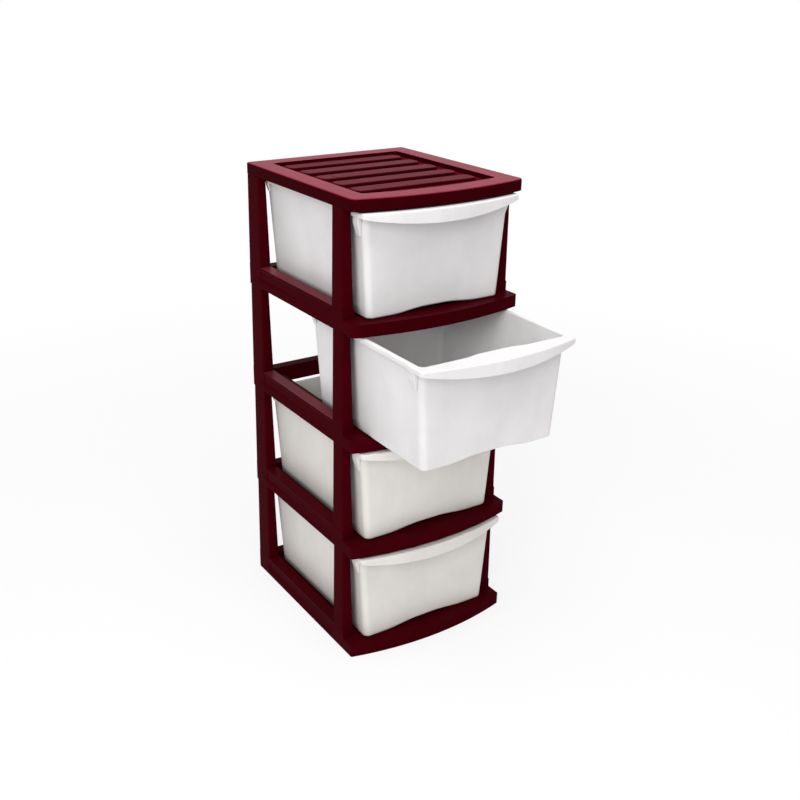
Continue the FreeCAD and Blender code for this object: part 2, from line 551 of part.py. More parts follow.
def make_drawer(label, height, pull="0"):
    """A drawer: drafted tub, rim with a turned-down skirt, bowed pull and arched floor."""
    body = new_body(label, y=minus(pull), z=height)

    def tub(name, height, inset, cut=False):
        share = "(%s / %s)" % (height, TUB_HEIGHT)
        foot_half = "(%s + tub_side_lean * %s - %s)" % (TUB_FOOT_HALF, share, inset)
        top_half = "(%s - %s)" % (TUB_TOP_HALF, inset)
        foot_y = ("(%s - tub_front_lean * %s + %s)" % (FOOT_FRONT, share, inset),
                  "(%s + tub_rear_lean * %s - %s)" % (FOOT_REAR, share, inset))
        top_y = ("(%s + %s)" % (TOP_FRONT, inset), "(%s - %s)" % (TOP_REAR, inset))
        wedge(body, name, height, TUB_HEIGHT, ((minus(foot_half), foot_half), (minus(top_half), top_half)),
              (foot_y, top_y), cut)

    tub(label + "_tub", "0", "0")
    tub(label + "_inside", "tub_wall", "tub_wall", cut=True)
    lid, floor = value(TUB_HEIGHT), value("tub_wall")

    def corner_from(bottom):
        def test(edge):
            heights = [vertex.Z for vertex in edge.Vertexes]
            return near(min(heights), bottom) and near(max(heights), lid)
        return test

    round_edges(body, label + "_inside_corners", corner_from(floor), "tub_corner_radius - tub_wall")
    round_edges(body, label + "_corners", corner_from(0), "tub_corner_radius")
    bevel_edges(body, label + "_foot_edge", lambda e: level(e, 0), "tub_foot_bevel")

    rim_rear = "(%s + rim_overhang)" % TOP_REAR
    wing_rear = "(%s - wing_gap)" % POST_FRONT
    wall_middle = "(%s + tub_wall / 2)" % TOP_FRONT
    rim = new_sketch(body, label + "_rim_outline", [(
        [(minus(WING_HALF), PULL_CORNER), (WING_HALF, PULL_CORNER), (WING_HALF, wing_rear),
         (RIM_HALF, wing_rear), (RIM_HALF, rim_rear), (minus(RIM_HALF), rim_rear),
         (minus(RIM_HALF), wing_rear), (minus(WING_HALF), wing_rear)], {0: "pull_bow"}),
        tub_outline("tub_wall / 2")], offset=TUB_HEIGHT)
    pad(body, label + "_rim", rim, "skirt_height", down=True)
    apron = new_sketch(body, label + "_apron_outline", [(
        [(minus(WING_HALF), PULL_CORNER), (WING_HALF, PULL_CORNER), (WING_HALF, wall_middle),
         (minus(WING_HALF), wall_middle)], {0: "pull_bow"})], offset=TUB_HEIGHT)
    pad(body, label + "_apron", apron, "pull_height", down=True)

    # The apron's lower edge is an arc that comes back to the skirt at its ends.
    low, shallow = "(%s - 2 * pull_height)" % TUB_HEIGHT, "(%s - skirt_height)" % TUB_HEIGHT
    sweep = new_sketch(body, label + "_sweep_outline", [(
        [(minus(WING_HALF), low), (WING_HALF, low), (WING_HALF, shallow), (minus(WING_HALF), shallow)],
        {2: "(skirt_height - pull_height)"})], role="XZ_Plane", offset="(-(%s))" % TOP_FRONT)
    pocket(body, label + "_apron_sweep", sweep, against_normal=False)

    corner_y, wing_x = value(PULL_CORNER), value(WING_HALF)
    round_edges(body, label + "_pull_corners", lambda e: upright(e) and near(abs(e.BoundBox.XMin), wing_x)
                and near(e.BoundBox.YMin, corner_y), "pull_corner_radius")
    rear_y, rim_x = value(rim_rear), value(RIM_HALF)
    round_edges(body, label + "_rim_corners", lambda e: upright(e) and near(abs(e.BoundBox.XMin), rim_x)
                and near(e.BoundBox.YMin, rear_y), "pull_corner_radius")
    outside = value("%s + rim_overhang / 2" % TUB_TOP_HALF)
    front, back = value("%s - tub_wall" % TOP_FRONT), value("%s + tub_wall" % TOP_REAR)

    def rim_edge(edge):
        middle = edge.CenterOfMass
        return level(edge, lid) and (abs(middle.x) > outside or middle.y < front or middle.y > back)

    bevel_edges(body, label + "_rim_edge", rim_edge, "rim_edge")

    inner_wing = "(%s - skirt_wall)" % WING_HALF
    inner_rim = "(%s - skirt_wall)" % RIM_HALF
    inner_rear = "(%s - skirt_wall)" % rim_rear
    inner_wing_rear = "(%s - skirt_wall)" % wing_rear
    inner_corner = "(%s + skirt_wall)" % PULL_CORNER
    under = new_sketch(body, label + "_under_rim", [
        ([(minus(inner_wing), inner_corner), (inner_wing, inner_corner), (inner_wing, inner_wing_rear),
          (inner_rim, inner_wing_rear), (inner_rim, inner_rear), (minus(inner_rim), inner_rear),
          (minus(inner_rim), inner_wing_rear), (minus(inner_wing), inner_wing_rear)], {0: "pull_bow"}),
        tub_outline("0")],
        offset="%s - pull_height" % TUB_HEIGHT)
    pocket(body, label + "_finger_gap", under, "pull_height - rim_thickness", against_normal=False)

    inside_front = "(%s + tub_wall / 2)" % FOOT_FRONT
    raised = new_sketch(body, label + "_raised_outline",
                        [arch_outline("tub_wall", "(tub_wall / 2)", "tub_wall / 2")],
                        role="XZ_Plane", offset="(-(%s))" % inside_front)
    pad(body, label + "_raised_floor", raised, "%s - %s - tub_wall" % (FOOT_REAR, FOOT_FRONT), down=True)
    channel = new_sketch(body, label + "_channel_outline",
                         [arch_outline("0", "(-tub_wall)", "0")],
                         role="XZ_Plane", offset="(-(%s - tub_front_lean))" % FOOT_FRONT)
    pocket(body, label + "_channel", channel)

    thumb = "(%s * thumb_share)" % WING_HALF
    thumb_outline = new_sketch(body, label + "_thumb_outline", [(
        [(minus(thumb), wall_middle), (thumb, wall_middle)],
        {0: "(tub_wall / 4)", 1: "(thumb_reach + tub_wall / 2)"})], offset=TUB_HEIGHT)
    pad(body, label + "_thumb_rest", thumb_outline, "rim_thickness", down=True)

    # The inner side of a stop or guide tab leans with the wall that it is rooted in.
    def blocks(name, height, reach, front, rear):
        drops = (height, "rim_thickness / 2")
        low, high = ["(%s - %s)" % (TUB_HEIGHT, drop) for drop in drops]
        foot, head = ["(%s - tub_wall / 2 - tub_side_lean * %s / %s)" % (TUB_TOP_HALF, drop, TUB_HEIGHT)
                      for drop in drops]
        outer = "(%s + %s)" % (TUB_TOP_HALF, reach)
        along = ((front, rear), (front, rear))
        wedge(body, label + name + "_right", low, high, ((foot, outer), (head, outer)), along)
        wedge(body, label + name + "_left", low, high,
              ((minus(outer), minus(foot)), (minus(outer), minus(head))), along)

    blocks("_stops", "stop_height", "stop_reach", "(%s - stop_length)" % wing_rear, wing_rear)
    tab_rear = "(%s - tab_inset)" % TOP_REAR
    blocks("_tabs", "tab_height", "tab_reach", "(%s - tab_length)" % tab_rear, tab_rear)
    return body


pieces = []
shelf_levels = ["%d * level_pitch" % (LEVELS - number) for number in range(1, LEVELS + 1)]
pieces.append(make_cover("top_cover", "%d * level_pitch" % LEVELS))
for number, height in enumerate(shelf_levels, start=1):
    name = "base_frame" if number == LEVELS else "shelf_frame_%d" % number
    pieces.append(make_frame(name, height))
for number, height in enumerate(shelf_levels, start=1):
    for side, sign in (("left", -1), ("right", 1)):
        corner, seat = "%d * tower_width / 2" % sign, "%s + rail_height" % height
        pieces.append(make_post("post_%d_front_%s" % (number, side), sign, corner, POST_FRONT, seat,
                                "front_post_depth"))
        pieces.append(make_post("post_%d_rear_%s" % (number, side), sign, corner, REAR_POST_FRONT, seat,
                                "rear_post_depth"))
for number, height in enumerate(shelf_levels, start=1):
    seat = "%s + front_bar_height + seat_gap" % height
    pieces.append(make_drawer("drawer_%d" % number, seat, "second_drawer_pull" if number == 2 else "0"))

doc.recompute()
faults = [item.Label for item in doc.Objects if {"Invalid", "Error"} & set(item.State)]
for piece in pieces:
    if piece.Shape.isNull() or not piece.Shape.isValid() or len(piece.Shape.Solids) != 1:
        faults.append(piece.Label + " is not one valid solid")
if faults:
    raise RuntimeError("failed: " + ", ".join(faults))

os.makedirs("parts", exist_ok=True)
for piece in pieces:
    piece.Shape.exportStep("parts/%s.step" % piece.Label)
print("%d pieces written" % len(pieces))
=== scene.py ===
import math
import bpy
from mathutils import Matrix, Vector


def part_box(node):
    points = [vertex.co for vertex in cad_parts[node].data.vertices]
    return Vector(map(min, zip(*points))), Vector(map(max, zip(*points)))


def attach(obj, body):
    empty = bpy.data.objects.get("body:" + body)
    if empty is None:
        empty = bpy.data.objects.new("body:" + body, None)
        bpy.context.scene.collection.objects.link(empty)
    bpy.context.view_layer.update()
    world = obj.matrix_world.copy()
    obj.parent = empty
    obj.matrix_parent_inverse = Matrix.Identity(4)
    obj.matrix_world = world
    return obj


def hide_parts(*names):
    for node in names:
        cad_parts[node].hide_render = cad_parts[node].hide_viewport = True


bl_info = {
    "name": "Drawer tower",
    "version": (1, 0, 0),
    "blender": (4, 5, 0),
    "location": "3D View > Sidebar > Tower",
    "description": "Plastic drawer tower: open frames on hollow posts, pull-out tubs and a slatted top",
    "category": "Add Mesh",
}

import bmesh
import bpy
from bpy.props import FloatProperty, FloatVectorProperty, IntProperty, PointerProperty
from mathutils import Matrix, Vector

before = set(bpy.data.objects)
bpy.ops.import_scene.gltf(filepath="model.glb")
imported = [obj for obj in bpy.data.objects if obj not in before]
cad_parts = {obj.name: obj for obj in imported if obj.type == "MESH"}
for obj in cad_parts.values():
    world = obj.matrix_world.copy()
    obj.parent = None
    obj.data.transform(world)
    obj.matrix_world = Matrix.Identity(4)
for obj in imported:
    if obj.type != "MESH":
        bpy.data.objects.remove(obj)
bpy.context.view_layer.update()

DRAWERS = ("drawer_1", "drawer_2", "drawer_3", "drawer_4")
FRAMES = ("shelf_frame_1", "shelf_frame_2", "shelf_frame_3", "base_frame")
POSTS = [(level, end, side) for level in (1, 2, 3, 4) for end in ("front", "rear")
         for side in ("left", "right")]
FRAME_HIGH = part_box("base_frame")[1]
COVER_LOW, COVER_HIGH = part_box("top_cover")
LEVEL_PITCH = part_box("shelf_frame_1")[0][2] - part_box("shelf_frame_2")[0][2]
TUB_LOW, TUB_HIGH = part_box("drawer_4")


# Properties: sizes, colours and light


def length(name, value, description):
    return FloatProperty(name=name, description=description, default=value, precision=5,
                         subtype="DISTANCE", unit="LENGTH")


def share(name, value, description):
    return FloatProperty(name=name, description=description, default=value, min=0, max=1, subtype="FACTOR")


def number(name, value, description, least=0, unit="NONE"):
    return FloatProperty(name=name, description=description, default=value, min=least, unit=unit)


def turn_angle(name, degrees, description):
    return FloatProperty(name=name, description=description, default=math.radians(degrees), subtype="ANGLE",
                         unit="ROTATION")


def colour(name, value, description):
    return FloatVectorProperty(name=name, description=description, default=value, size=3, min=0, max=1,
                               subtype="COLOR")


def spot(name, value, description):
    return FloatVectorProperty(name=name, description=description, default=value, size=3, precision=4,
                               subtype="XYZ_LENGTH", unit="LENGTH")


class TowerFrameSizes(bpy.types.PropertyGroup):
    """Sizes of the frames and posts"""

    half_width: length("Half width", FRAME_HIGH[0], "Middle of the tower to the outer face of a frame")
    rear: length("Rear", FRAME_HIGH[1], "Rear edge of every frame")
    lip: length("Lip corners", -0.180, "Corners of the front lip")
    bow: length("Bow", 0.022, "Middle of a front lip ahead of its corners")
    post_front: length("Post front", -0.151, "Front face of the front posts")
    post_back: length("Post back", -0.116, "Back face of the front posts")
    rear_post_front: length("Rear post front", 0.135, "Front face of the rear posts")
    rail_width: length("Rail width", 0.0215, "Outer to inner face of a side rail")
    rail_height: length("Rail height", 0.038, "Side rails and corner blocks")
    runner_width: length("Runner width", 0.025, "Ledge inside each side rail")
    bar_height: length("Front bar height", 0.0215, "Front lip and runners")
    rear_bar_height: length("Rear bar height", 0.031, "Rear cross bar")
    rear_bar_depth: length("Rear bar depth", 0.020, "Rear cross bar, front to back")
    wall: length("Wall", 0.0024, "Moulded wall of the frames")
    rib_pitch: length("Rib pitch", 0.048, "Ribs under the front bar")
    rib_thickness: length("Rib thickness", 0.002, "Ribs under the front bar")
    band_depth: length("Band depth", 0.001, "Sunk band along a side rail")
    bead_height: length("Bead height", 0.008, "Plain bead under the band")
    band_margin: length("Band margin", 0.005, "Plain strip over the band")
    lip_radius: length("Lip radius", 0.011, "Ends of the front lips, from above")
    rear_radius: length("Rear radius", 0.006, "Rear corners, from above")
    edge_radius: length("Edge radius", 0.0022, "Rounded edges of the mouldings")
    post_draft: length("Post draft", 0.0010, "Outer, front and rear lean of a post")
    post_inner_draft: length("Post inner draft", 0.005, "Inner lean of a post")
    post_radius: length("Post radius", 0.0034, "Upright edges of a post")
    plug_shoulder: length("Plug shoulder", 0.0037, "Step from a post's head to its plug")


class TowerCoverSizes(bpy.types.PropertyGroup):
    """Sizes of the top cover"""

    border: length("Border", 0.035, "Flat border at the sides and rear of the sunk field")
    front_border: length("Front border", 0.0385, "Flat border in the middle of the front")
    field_depth: length("Field depth", 0.009, "Sunk field below the border")
    field_bow: length("Field bow", 0.0135, "Front edge of the field, middle ahead of its ends")
    field_radius: length("Field radius", 0.007, "Corners of the field")
    slat_count: IntProperty(name="Slats", description="Raised slats in the field", default=5, min=1)
    slat_rise: length("Slat rise", 0.0055, "Slats above the floor of the field")
    slat_gap: length("Slat gap", 0.0223, "Groove between two slats")
    slat_rear_gap: length("Rear gap", 0.011, "Groove behind the first slat")
    slat_front_gap: length("Front gap", 0.030, "Last slat to the front corners of the field")
    slat_side_gap: length("Side gap", 0.019, "Corners of a slat to the sides of the field")
    slat_bulge: length("Slat bulge", 0.0065, "Roundness of a slat's ends")
    slat_edge: length("Slat edge", 0.0022, "Rounded upper edges of the slats")
    plate: length("Plate", 0.0026, "Floor of the sunk field")
    edge_radius: length("Edge radius", 0.0029, "Rounded upper edge")


class TowerDrawerSizes(bpy.types.PropertyGroup):
    """Sizes of a drawer, from the lowest one where it stands closed"""

    height: length("Height", TUB_HIGH[2] - TUB_LOW[2], "Foot to rim")
    wing_half: length("Half width of the pull", TUB_HIGH[0], "Middle to the end of the pull")
    wing: length("Wing", 0.0035, "Pull beyond the side rim")
    overhang: length("Overhang", 0.005, "Rim beyond the body")
    side_lean: length("Side lean", 0.0115, "Lean of each side wall")
    front_lean: length("Front lean", 0.0035, "Lean of the front wall")
    rear_lean: length("Rear lean", 0.0065, "Lean of the rear wall")
    foot_front: length("Foot front", -0.1725, "Front wall at its foot")
    foot_rear: length("Foot rear", 0.145, "Rear wall at its foot")
    wing_rear: length("Wing rear", -0.152, "Back of the pull's ends")
    pull_reach: length("Pull reach", 0.014, "Corners of the pull ahead of the front wall")
    pull_bow: length("Pull bow", 0.021, "Middle of the pull ahead of its corners")
    pull_height: length("Pull height", 0.0235, "Apron at its deepest")
    skirt: length("Skirt", 0.009, "Turned-down edge of the rim")
    skirt_wall: length("Skirt wall", 0.0018, "Thickness of the turned-down edge")
    flat: length("Flat", 0.0024, "Thickness of the rim's flat")
    wall: length("Wall", 0.0022, "Walls and floor")
    corner_radius: length("Corner radius", 0.011, "Upright corners")
    foot_radius: length("Foot radius", 0.0042, "Walls into the floor")
    rim_radius: length("Rim radius", 0.0026, "Upper edge of the rim")
    rim_corner: length("Rim corner", 0.007, "Corners of the rim and of the pull")
    thumb_half: length("Thumb rest half", 0.063, "Half the width of the thumb rest")
    thumb_reach: length("Thumb rest reach", 0.005, "Thumb rest over the inside")
    arch_rise: length("Arch rise", 0.0055, "Middle of the floor above its feet")
    arch_foot: share("Arch foot", 0.67, "Part of the foot between its two feet")
    arch_top: share("Arch top", 0.14, "Part of the foot that is raised flat")
    stop_height: length("Stop height", 0.041, "Stops under the ends of the pull")
    stop_length: length("Stop length", 0.016, "Stops, front to back")
    stop_reach: length("Stop reach", 0.006, "Stops beyond the body")
    stop_radius: length("Stop radius", 0.0016, "Upright edges of the stops and guide tabs")
    tab_height: length("Tab height", 0.024, "Guide tabs under the rear corners")
    tab_length: length("Tab length", 0.010, "Guide tabs, front to back")
    tab_reach: length("Tab reach", 0.0045, "Guide tabs beyond the body")
    tab_inset: length("Tab inset", 0.008, "Rear guide tabs ahead of the body's rear")


class TowerFinish(bpy.types.PropertyGroup):
    """Colours and gloss of the burgundy and the white plastic"""

    frame_colour: colour("Frame", (0.046, 0.0005, 0.0030), "Burgundy of the plain faces")
    cover_colour: colour("Cover", (0.034, 0.0004, 0.0022), "Burgundy of the cover's upright faces")
    # Painted top light: the cover's up-facing faces, slats among them, are lighter than its upright ones.
    lit_slat_colour: colour("Slats", (0.094, 0.0030, 0.0105), "Burgundy of the slats, a little rubbed")
    # Painted reflection: the upper side ledges are lightened for the white drawer walls they mirror.
    ledge_sheen_colour: colour("Ledges", (0.128, 0.013, 0.023), "Dusty burgundy of the upper side ledges")
    # Painted sheen: the cover's border is lightened for the sky it reflects.
    border_sheen_colour: colour("Cover border", (0.214, 0.018, 0.039), "Dull burgundy of the cover's border")
    frame_gloss: share("Frame roughness", 0.27, "Roughness of the burgundy plastic")
    worn_dullness: share("Worn dullness", 0.14, "Roughness that the worn tops add")
    top_sheen: share("Top sheen", 0.08, "Part of the worn reflection that the plain tops share")
    deep_index: number("Deep reflection", 1.03, "Index of refraction of the dark faces", 1)
    worn_index: number("Worn reflection", 1.13, "Index of refraction of the worn flat tops", 1)
    drawer_colour: colour("Drawers", (0.79, 0.775, 0.775), "Milky white of the drawers")
    # The lower two drawers are a creamier, slightly darker white.
    drawer_warm_colour: colour("Lower drawers", (0.765, 0.735, 0.70), "Creamier white of the lower two")
    # Painted shade: narrow gaps in the white plastic turn dark grey.
    gap_shade_colour: colour("Gaps", (0.085, 0.078, 0.075), "Grime of the white plastic in narrow gaps")
    gap_shade_reach: length("Gap reach", 0.019, "How wide a gap still gathers grime")
    drawer_gloss: share("Drawer roughness", 0.34, "Roughness of the white plastic")
    drawer_index: number("Drawer reflection", 1.49, "Index of refraction of the white plastic", 1)
    drawer_shine: share("Drawer shine", 0.45, "Strength of the white plastic's reflection")


class TowerStudio(bpy.types.PropertyGroup):
    """Light and camera"""

    sky: number("Sky", 0.44, "Strength of the light from all round")
    key: number("Key lamp", 45, "Power of the soft lamp at the left and above", unit="POWER")
    key_place: spot("Key lamp's place", (-1.9, -1.9, 2.0), "Where the key lamp hangs")
    key_aim: length("Key lamp's aim", 0.45, "Height on the tower that the key lamp faces")
    key_size: length("Key lamp's size", 1.5, "Side of the key lamp")
    top: number("Top lamp", 44, "Power of the soft lamp above", unit="POWER")
    top_place: spot("Top lamp's place", (-0.3, -0.6, 2.9), "Where the top lamp hangs")
    top_aim: length("Top lamp's aim", 0.5, "Height on the tower that the top lamp faces")
    top_size: length("Top lamp's size", 1.8, "Side of the top lamp")
    floor_reach: length("Floor reach", 14.0, "Middle of the floor to its edges")
    floor_tone: share("Floor tone", 0.88, "Paleness of the floor")
    veil_near: length("Veil near", 0.5, "Where the floor begins to fade into the background")
    veil_far: length("Veil far", 2.2, "Where the floor has faded into the background")
    veil_least: share("Least veil", 0.80, "How white the floor is made near the tower")
    camera_place: spot("Camera", (-0.9696, -1.5054, 1.1507), "Where the camera stands")
    camera_shift: FloatVectorProperty(name="Shift", description="Aside and upward shift of the image",
                                      size=2, default=(0.0385, -0.0226))
    azimuth: turn_angle("Azimuth", -32.29, "Way round from straight ahead")
    elevation: turn_angle("Elevation", 21.89, "Height of the camera's gaze")
    roll: turn_angle("Roll", 0.49, "Lean of the camera")
    lens: number("Lens", 47.26, "Focal length in millimetres", 1)


# Materials


class Signal:
    """A shader socket whose arithmetic adds Math nodes beside it."""

    def __init__(self, tree, socket):
        self.tree = tree
        self.socket = socket

    def maths(self, operation, other=0.0, clamp=False, turned=False):
        node = self.tree.nodes.new("ShaderNodeMath")
        node.operation = operation
        node.use_clamp = clamp
        for socket, value in zip(node.inputs, (other, self) if turned else (self, other)):
            feed(self.tree, socket, value)
        return Signal(self.tree, node.outputs[0])

    def __add__(self, other):
        return self.maths("ADD", other)

    def __radd__(self, other):
        return self.maths("ADD", other, turned=True)

    def __sub__(self, other):
        return self.maths("SUBTRACT", other)

    def __rsub__(self, other):
        return self.maths("SUBTRACT", other, turned=True)

    def __mul__(self, other):
        return self.maths("MULTIPLY", other)

    def __rmul__(self, other):
        return self.maths("MULTIPLY", other, turned=True)

    def clamped(self):
        return self.maths("ADD", clamp=True)


def feed(tree, socket, value):
    """Links a signal to a socket, or sets the socket to a value."""
    if isinstance(value, Signal):
        tree.links.new(value.socket, socket)
    elif socket.type == "RGBA":
        socket.default_value = (*value[:3], 1.0)
    else:
        socket.default_value = value


class Nodes:
    """The nodes of a material or a world under construction."""

    def __init__(self, owner):
        owner.use_nodes = True
        self.tree = owner.node_tree
        self.tree.nodes.clear()

    def node(self, kind, settings=None, inputs=None, output=0):
        """Adds a node: its settings first, then its sockets' values or links."""
        node = self.tree.nodes.new(kind)
        for key, value in (settings or {}).items():
            setattr(node, key, value)
        for key, value in (inputs or {}).items():
            feed(self.tree, node.inputs[key], value)
        return Signal(self.tree, node.outputs[output]) if node.outputs else node

    def background_rays(self):
        """1 for the rays that see the background, straight on or by way of metal or glass."""
        camera, glossy, through = [self.node("ShaderNodeLightPath", output=ray) for ray in
                                   ("Is Camera Ray", "Is Glossy Ray", "Is Transmission Ray")]
        return (camera + glossy + through).clamped()


class Finish(Nodes):
    """A material under construction."""

    def __init__(self, name):
        self.material = bpy.data.materials.new(name)
        super().__init__(self.material)

    def place(self):
        return self.node("ShaderNodeTexCoord", output=3)

    def stretched(self, scale):
        """The place on the object, squeezed or drawn out along X, Y and Z."""
        return self.node("ShaderNodeVectorMath", {"operation": "MULTIPLY"}, {0: self.place(), 1: scale})

    def noise(self, scale, detail=3.0, roughness=0.5, vector=None):
        inputs = {"Scale": scale, "Detail": detail, "Roughness": roughness}
        inputs["Vector"] = vector if vector is not None else self.place()
        return self.node("ShaderNodeTexNoise", {"noise_dimensions": "3D"}, inputs)

    def ramp(self, value, low, high, low_tone=0.0, high_tone=1.0):
        return self.node("ShaderNodeMapRange", {"interpolation_type": "SMOOTHSTEP"},
                         {"Value": value, "From Min": low, "From Max": high, "To Min": low_tone,
                          "To Max": high_tone})

    def mix(self, factor, first, second):
        return self.node("ShaderNodeMix", {"data_type": "RGBA"}, {0: factor, 6: first, 7: second}, output=2)

    def facing_up(self, low, high):
        """1 on faces that look up, 0 on upright ones."""
        normal = self.node("ShaderNodeNewGeometry", output=1)
        upward = self.node("ShaderNodeSeparateXYZ", inputs={0: normal}, output=2)
        return self.ramp(upward, low, high)

    def bump(self, height, distance, strength=1.0, normal=None):
        inputs = {"Height": height, "Distance": distance, "Strength": strength}
        if normal is not None:
            inputs["Normal"] = normal
        return self.node("ShaderNodeBump", inputs=inputs)

    def finish(self, surface):
        self.node("ShaderNodeOutputMaterial", inputs={"Surface": surface})


def burgundy_plastic(name, look, plain, lit_top_tone, painted_sheen_tone, wear_and_sheen_mask):
    """Moulded burgundy with cloudy patches and flow marks. Its flat tops may take a lighter tone as painted
    top light, and where a mask picks them out a lighter one still as painted sheen; there they are also
    rougher and reflect more."""
    coat = Finish(name)
    cloud = coat.noise(9.0, 4.0)
    flow = coat.noise(26.0, 3.0, 0.6, coat.stretched((1.0, 0.22, 1.0)))
    top = coat.facing_up(0.35, 0.95)
    # Tops picked out by the mask: rougher, more reflective, and lightened with painted sheen.
    wear_and_sheen = top * wear_and_sheen_mask(coat)
    patchy = coat.ramp(cloud, 0.3, 0.7, 0.78, 1.0)
    # Painted light: up-facing faces take the lighter top tone, and masked tops the painted sheen tone.
    base = coat.mix(top, plain, lit_top_tone)
    base = coat.mix(wear_and_sheen * patchy, base, painted_sheen_tone)
    tone = coat.ramp(flow, 0.2, 0.8, 0.92, 1.08)
    base = coat.node("ShaderNodeHueSaturation", inputs={"Value": tone, "Color": base})
    rough = look.frame_gloss + look.worn_dullness * wear_and_sheen + 0.04 * (cloud - 0.5)
    marks = coat.bump(flow, 0.0002, 0.12)
    deep, sheen = [coat.node("ShaderNodeBsdfPrincipled", inputs={
        "Base Color": base, "Roughness": rough, "Normal": marks, "IOR": index})
        for index in (look.deep_index, look.worn_index)]
    share_of_sheen = look.top_sheen * top + (1 - look.top_sheen) * wear_and_sheen
    coat.finish(coat.node("ShaderNodeMixShader", inputs={0: share_of_sheen, 1: deep, 2: sheen}))


def beyond(coat, axis, low, high, mirrored=False):
    """0 below low and 1 above high along an axis of the object."""
    reach = coat.node("ShaderNodeSeparateXYZ", inputs={0: coat.place()}, output=axis)
    if mirrored:
        reach = reach.maths("ABSOLUTE")
    return coat.ramp(reach, low, high)


def milky_plastic(name, look, tint):
    """Milky white plastic: satin, with cloudy thickness, faint upright flow lines and fine scuffs, darkened
    to grey in narrow gaps as painted shade.
    """
    skin = Finish(name)
    cloud = skin.noise(14.0, 4.0, 0.55)
    flow = skin.noise(34.0, 3.0, 0.6, skin.stretched((1.0, 1.0, 0.15)))
    scuff = skin.ramp(skin.noise(150.0, 4.0, 0.7, skin.stretched((1.0, 0.2, 1.0))), 0.62, 0.72)
    shade = tuple(0.91 * channel for channel in tint)
    base = skin.mix(skin.ramp(cloud, 0.2, 0.8), shade, tint)
    # Painted shade: ambient occlusion darkens the white towards the gap colour in narrow gaps, as beside the
    # posts.
    open_air = skin.node("ShaderNodeAmbientOcclusion", {"samples": 8}, {"Distance": look.gap_shade_reach}, output=1)
    base = skin.mix(skin.ramp(open_air, 0.15, 0.75), look.gap_shade_colour, base)
    tone = skin.ramp(flow, 0.2, 0.8, 0.975, 1.02)
    base = skin.node("ShaderNodeHueSaturation", inputs={"Value": tone, "Color": base})
    rough = look.drawer_gloss + 0.06 * (cloud - 0.5) + 0.08 * scuff
    grain = skin.bump(skin.noise(540.0, 2.0), 0.00003, 0.5)
    waves = skin.bump(flow, 0.0006, 0.22, grain)
    skin.finish(skin.node("ShaderNodeBsdfPrincipled", inputs={
        "Base Color": base, "Roughness": rough, "Normal": waves, "IOR": look.drawer_index,
        "Specular IOR Level": look.drawer_shine}))


class TOWER_OT_finishes(bpy.types.Operator):
    """Make the plastics"""

    bl_idname = "tower.finishes"
    bl_label = "Plastics"

    def execute(self, context):
        look = context.scene.tower_finish
        frame_sizes = context.scene.tower_frame
        ledge, edge = frame_sizes.half_width - frame_sizes.rail_width, 0.001
        front, behind, top = frame_sizes.post_front, 0.006, COVER_HIGH[2]

        # Upper side ledges, lightened with painted reflection.
        def side_ledges(coat):
            aside = beyond(coat, 0, ledge - edge, ledge + edge, mirrored=True)
            aside = aside * beyond(coat, 1, front, front + behind)
            return aside * beyond(coat, 2, LEVEL_PITCH, 2.5 * LEVEL_PITCH)

        # The cover's flat border, lightened with painted sheen.
        def border(coat):
            return beyond(coat, 2, top - 0.0024, top - 0.0008)

        # The frames: plain tops, and painted reflection lightening the upper side ledges.
        burgundy_plastic("burgundy_plastic", look, look.frame_colour, look.frame_colour, look.ledge_sheen_colour,
                         side_ledges)
        # The cover: its up-facing faces take a lighter burgundy as painted top light, and its flat border a
        # painted sheen.
        burgundy_plastic("sheen_painted_burgundy_plastic", look, look.cover_colour, look.lit_slat_colour,
                         look.border_sheen_colour, border)
        milky_plastic("milky_plastic", look, look.drawer_colour)
        milky_plastic("lower_milky_plastic", look, look.drawer_warm_colour)
        return {"FINISHED"}


# Mesh building


def new_object(name, bm, material, body, nodes, smooth_angle=40):
    """Turns a mesh into a shaded piece that rides on a body and stands for CAD nodes."""
    bmesh.ops.recalc_face_normals(bm, faces=bm.faces)
    for edge in bm.edges:
        edge.smooth = not (len(edge.link_faces) == 2 and
                           edge.calc_face_angle(0.0) > math.radians(smooth_angle))
    for face in bm.faces:
        face.smooth = True
    mesh = bpy.data.meshes.new(name)
    bm.to_mesh(mesh)
    bm.free()
    mesh.materials.append(material)
    piece = bpy.data.objects.new(name, mesh)
    bpy.context.scene.collection.objects.link(piece)
    weighted = piece.modifiers.new("even shading", "WEIGHTED_NORMAL")
    weighted.keep_sharp = True
    weighted.weight = 80
    bpy.context.view_layer.update()
    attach(piece, body)
    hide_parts(*nodes)


def ring_strip(bm, rings):
    """Joins rings of points by strips of quads and returns their vertices."""
    rows = [[bm.verts.new(point) for point in ring] for ring in rings]
    for low, high in zip(rows, rows[1:]):
        for i in range(len(low)):
            j = (i + 1) % len(low)
            bm.faces.new((low[i], low[j], high[j], high[i]))
    return rows


def capped_rings(bm, rings):
    """Joins rings of points into a closed piece."""
    rows = ring_strip(bm, rings)
    bm.faces.new(list(reversed(rows[0])))
    bm.faces.new(rows[-1])


def quarter_up(radius, steps):
    """Inset and rise of points on a rounded lower edge, from the flat underside to the upright wall."""
    turns = [i * math.pi / 2 / steps for i in range(steps + 1)]
    return [(radius * (1 - math.sin(turn)), radius * (1 - math.cos(turn))) for turn in turns]


def quarter_down(radius, steps):
    """Inset and drop of points on a rounded upper edge, from the upright wall to the flat top."""
    return list(reversed(quarter_up(radius, steps)))


def bow_circle(half, front, bow):
    """Centre and radius of the arc that bows a front edge forward between its ends."""
    radius = half * half / (2 * bow) + bow / 2
    return front - bow + radius, radius


